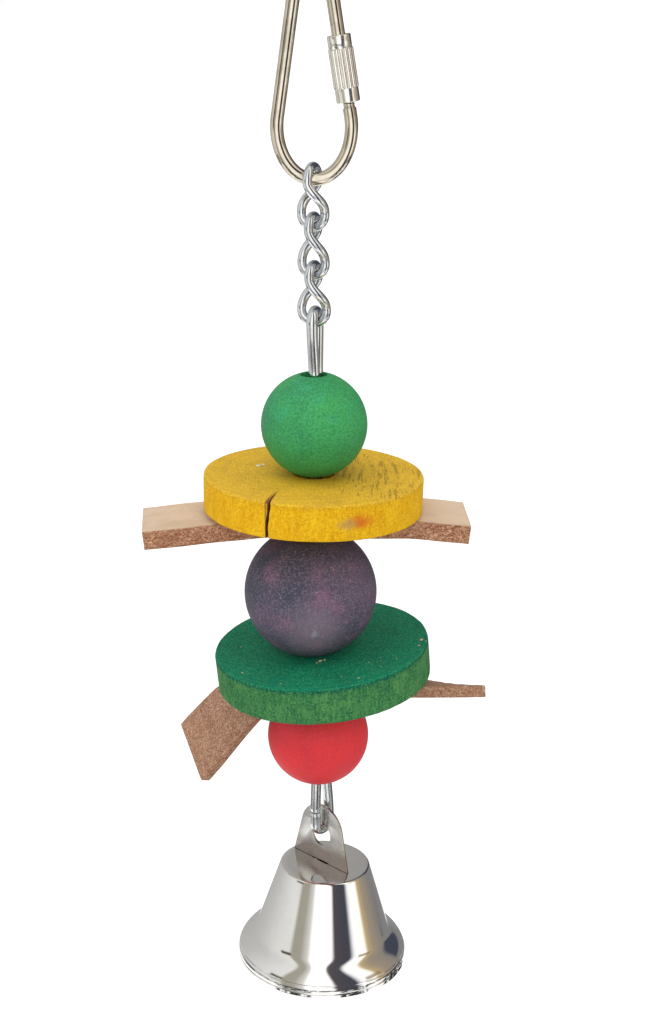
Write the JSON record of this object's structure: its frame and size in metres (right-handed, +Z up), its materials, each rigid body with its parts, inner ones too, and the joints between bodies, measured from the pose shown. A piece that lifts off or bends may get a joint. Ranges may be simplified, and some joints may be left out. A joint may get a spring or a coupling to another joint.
{
  "type": "hanging wooden bird toy",
  "caption": "Hanging bird toy: quick link and twisted chain carry a wire threaded through coloured wooden balls, wood slices and leather straps, with a bell and clapper below.",
  "frame": {"origin": "inside top of the quick link, where the toy hangs", "axes": "+Z up along the hanging line, the quick link lies in the XZ plane and -Y faces the viewer of the picture"},
  "size_m": [0.0803, 0.0505, 0.2379],
  "materials": {
    "quick_link_nickel": "bright nickel plating",
    "nut_nickel": "nickel plating, fluted grip",
    "chain_link_1_zinc": "bright zinc plating",
    "chain_link_2_zinc": "bright zinc plating",
    "chain_link_3_zinc": "bright zinc plating",
    "hanger_zinc": "bright zinc plating",
    "green_ball": "dyed bright green, satin",
    "yellow_wood": "dyed yellow, sawn faces",
    "grain_leather": "smooth pale top, fibrous red-brown edges",
    "purple_ball": "dyed dark purple, mottled satin",
    "green_wood": "dyed dark green, sawn faces",
    "suede_leather": "rough brown suede",
    "red_ball": "dyed red, satin",
    "bell_nickel": "polished nickel plating",
    "tab_nickel": "satin nickel plating",
    "clapper_steel": "plain bright wire",
    "clapper_ball_steel": "plain bright ball"
  },
  "bodies": {
    "quick_link": {"quick_link_body": "quick_link_nickel"},
    "nut": {"quick_link_nut": "nut_nickel"},
    "chain_link_1": {"chain_link_1": "chain_link_1_zinc"},
    "chain_link_2": {"chain_link_2": "chain_link_2_zinc"},
    "chain_link_3": {"chain_link_3": "chain_link_3_zinc"},
    "hanger": {"wire_hanger": "hanger_zinc"},
    "upper_bead": {"upper_bead": "green_ball"},
    "yellow_disc": {"yellow_disc": "yellow_wood"},
    "upper_strap": {"upper_leather_strap": "grain_leather"},
    "middle_bead": {"middle_bead": "purple_ball"},
    "green_disc": {"green_disc": "green_wood"},
    "lower_strap": {"lower_leather_strap": "suede_leather"},
    "lower_bead": {"lower_bead": "red_ball"},
    "bell": {"bell_shell": "bell_nickel", "bell_tab": "tab_nickel"},
    "clapper": {"clapper_wire": "clapper_steel", "clapper_ball": "clapper_ball_steel"}
  },
  "joints": [
    {"name": "nut_slide", "type": "slide", "parent": "quick_link", "child": "nut", "axis": [-0.1488, 0, 0.9889], "range_m": [0, 0.0085]},
    {"name": "chain_link_1_swing", "type": "hinge", "parent": "quick_link", "child": "chain_link_1", "pos_m": [-0.0004, 0, -0.04325], "axis": [1, 0, 0], "range_deg": [-75, 75]},
    {"name": "chain_link_2_swing", "type": "hinge", "parent": "chain_link_1", "child": "chain_link_2", "pos_m": [-0.0004, 0, -0.05108], "axis": [0.3746, 0.9272, 0], "range_deg": [-60, 60]},
    {"name": "chain_link_3_swing", "type": "hinge", "parent": "chain_link_2", "child": "chain_link_3", "pos_m": [-0.0004, 0, -0.06402], "axis": [0.9272, -0.3746, 0], "range_deg": [-75, 75]},
    {"name": "hanger_swing", "type": "hinge", "parent": "chain_link_3", "child": "hanger", "pos_m": [-0.0002, 0, -0.07205], "axis": [0.2419, 0.9703, 0], "range_deg": [-60, 60]},
    {"name": "upper_bead_spin", "type": "hinge", "parent": "hanger", "child": "upper_bead", "pos_m": [-0.0006, 0.0001, -0.09798], "axis": [0, 0, 1], "continuous": true},
    {"name": "yellow_disc_spin", "type": "hinge", "parent": "hanger", "child": "yellow_disc", "pos_m": [-0.00105, 0.0006, -0.11785], "axis": [0.0332, 0, 0.9995], "continuous": true},
    {"name": "upper_strap_spin", "type": "hinge", "parent": "hanger", "child": "upper_strap", "pos_m": [-0.0012, 0.0006, -0.1225], "axis": [0.0332, 0, 0.9995], "continuous": true},
    {"name": "middle_bead_spin", "type": "hinge", "parent": "hanger", "child": "middle_bead", "pos_m": [-0.0018, -0.0028, -0.13703], "axis": [-0.0225, -0.0226, 0.9995], "continuous": true},
    {"name": "green_disc_spin", "type": "hinge", "parent": "hanger", "child": "green_disc", "pos_m": [0.00127, 0.00087, -0.15987], "axis": [-0.0781, -0.0452, 0.9959], "continuous": true},
    {"name": "lower_strap_spin", "type": "hinge", "parent": "hanger", "child": "lower_strap", "pos_m": [0.0015, 0.001, -0.1628], "axis": [-0.0781, -0.0452, 0.9959], "continuous": true},
    {"name": "lower_bead_spin", "type": "hinge", "parent": "hanger", "child": "lower_bead", "pos_m": [-0.0004, 0.0004, -0.17491], "axis": [0, 0, 1], "continuous": true},
    {"name": "bell_swing", "type": "hinge", "parent": "hanger", "child": "bell", "pos_m": [0.0004, 0, -0.20015], "axis": [0.682, 0.7314, 0], "range_deg": [-45, 45]},
    {"name": "clapper_swing", "type": "hinge", "parent": "bell", "child": "clapper", "pos_m": [-0.00013, 0, -0.21324], "axis": [0.682, 0.7314, 0], "range_deg": [-40, 40]}
  ]
}
